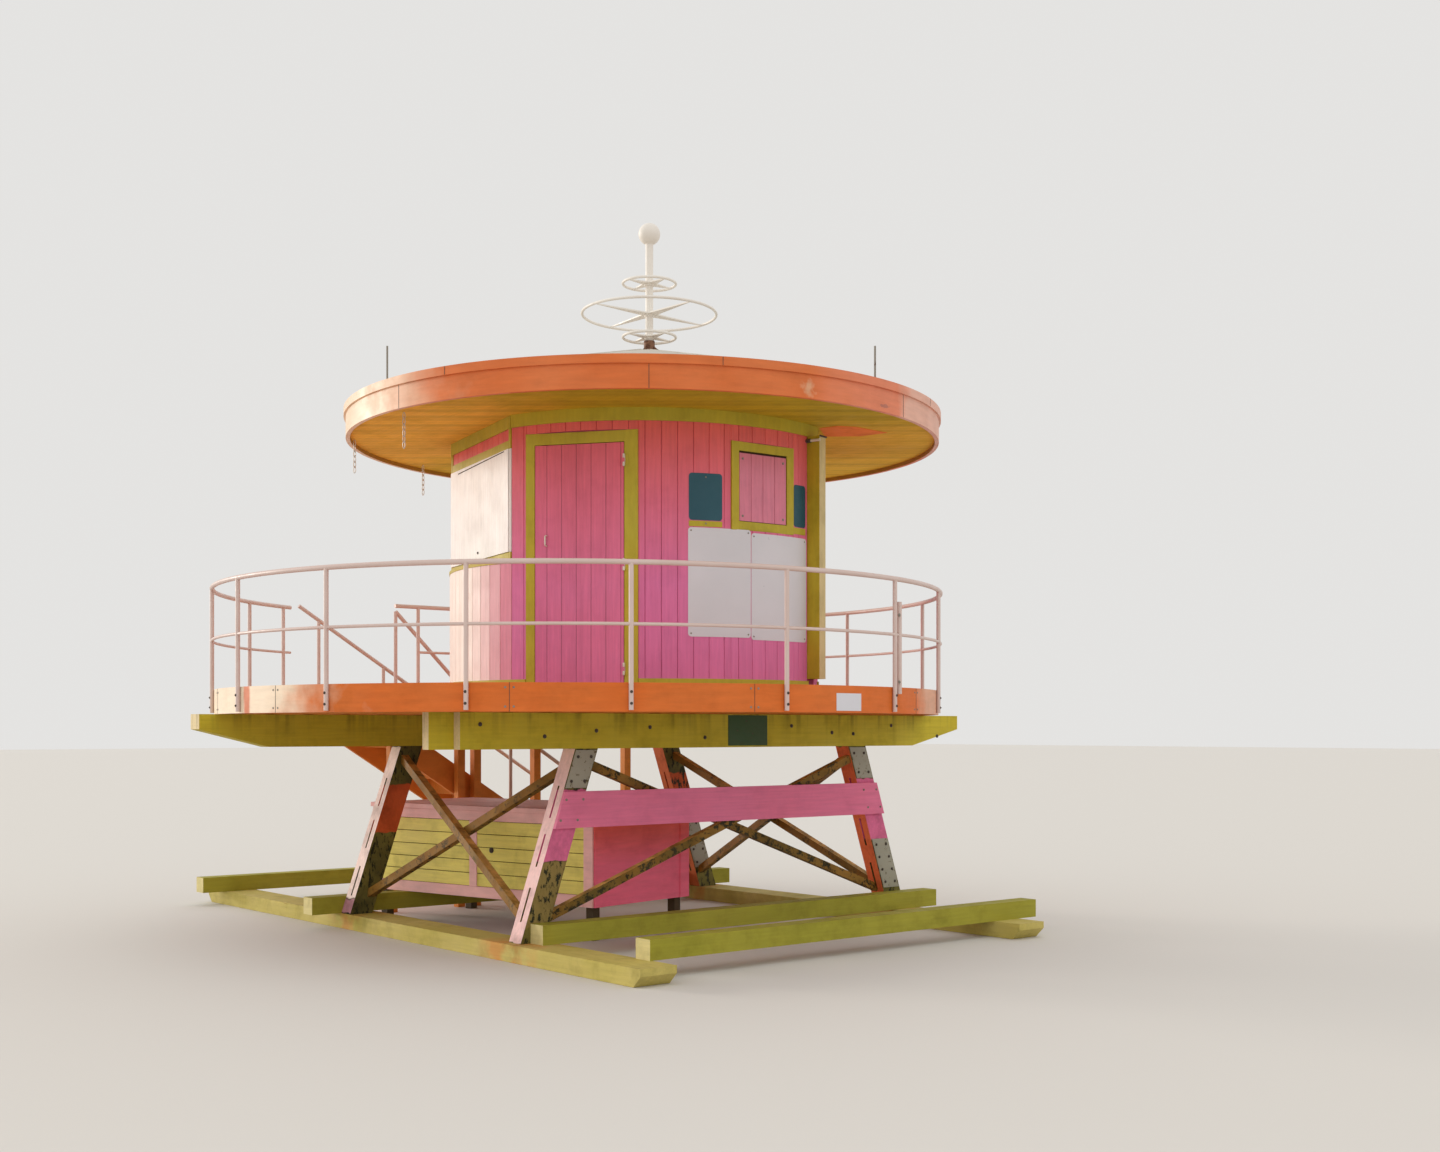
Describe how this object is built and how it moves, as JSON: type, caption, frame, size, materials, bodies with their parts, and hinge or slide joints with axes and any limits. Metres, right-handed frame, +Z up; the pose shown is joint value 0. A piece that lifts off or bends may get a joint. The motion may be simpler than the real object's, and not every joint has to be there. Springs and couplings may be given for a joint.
{
  "type": "lifeguard tower",
  "caption": "Round boarded lifeguard hut under a flat overhanging roof, on a round railed deck with splayed timber legs, braces, runners, a stair, a locker and a ringed mast.",
  "frame": {"origin": "on the ground, at the middle of the plan outline, midway between the ends of the runners", "axes": "+Z up; +Y along the runners, away from the side with the cross board; +X along the main beams"},
  "size_m": [7.2844, 8.3, 7.1],
  "materials": {
    "weathered_timber_paint": "matt yellow-green paint on rough timber",
    "leg_paint": "worn pink and orange paint on planks",
    "brace_paint": "matt brown-olive paint",
    "beam_paint": "satin olive-green paint",
    "pink_paint": "satin pink paint on boards",
    "pale_shutter_paint": "satin pale paint",
    "lime_trim_paint": "satin olive-lime paint",
    "orange_deck_paint": "satin orange paint",
    "rail_paint": "pale pink paint on welded pipe",
    "roof_edge_paint": "satin orange paint",
    "soffit_paint": "satin ochre paint on narrow boards",
    "roofing": "matt pale roofing sheet",
    "mast_paint": "satin cream paint",
    "locker_paint": "satin pale pink paint",
    "zinc_steel": "dull zinc"
  },
  "bodies": {
    "tower": {"runners": "weathered_timber_paint", "cross_timbers": "weathered_timber_paint", "legs": "leg_paint", "braces_front": "brace_paint", "braces_left": "brace_paint", "braces_right": "brace_paint", "near_beam": "beam_paint", "far_beam": "beam_paint", "cross_board": "pink_paint", "wall_left": "pink_paint", "wall_right": "pink_paint", "wall_over_door": "pink_paint", "wall_flat": "pink_paint", "low_walls": "pink_paint", "bay_walls": "pink_paint", "window_shutter": "pink_paint", "bay_shutters": "pale_shutter_paint", "door_frame": "lime_trim_paint", "frieze": "lime_trim_paint", "corner_post": "lime_trim_paint", "window_frame": "lime_trim_paint", "low_wall_cap": "lime_trim_paint", "deck_fascia": "orange_deck_paint", "deck_floor": "orange_deck_paint", "opening_trim": "orange_deck_paint", "deck_joists": "orange_deck_paint", "deck_posts": "orange_deck_paint", "stair_stringers": "orange_deck_paint", "stair_treads": "orange_deck_paint", "rail_far_left": "rail_paint", "rail_near_left": "rail_paint", "rail_near_right": "rail_paint", "rail_far_right": "rail_paint", "guard_rail": "rail_paint", "stair_handrails": "rail_paint", "roof_fascia": "roof_edge_paint", "roof_soffit": "soffit_paint", "roof_top": "roofing", "mast": "mast_paint", "mast_rings": "mast_paint", "locker_body": "locker_paint", "locker_lid": "locker_paint", "door_hinges": "zinc_steel"},
    "door": {"door": "pink_paint", "door_handle": "zinc_steel"}
  },
  "joints": [
    {"name": "door_hinge", "type": "hinge", "parent": "tower", "child": "door", "pos_m": [-0.96756, -2.49918, 3.465], "axis": [0, 0, 1], "range_deg": [0, 110]}
  ]
}
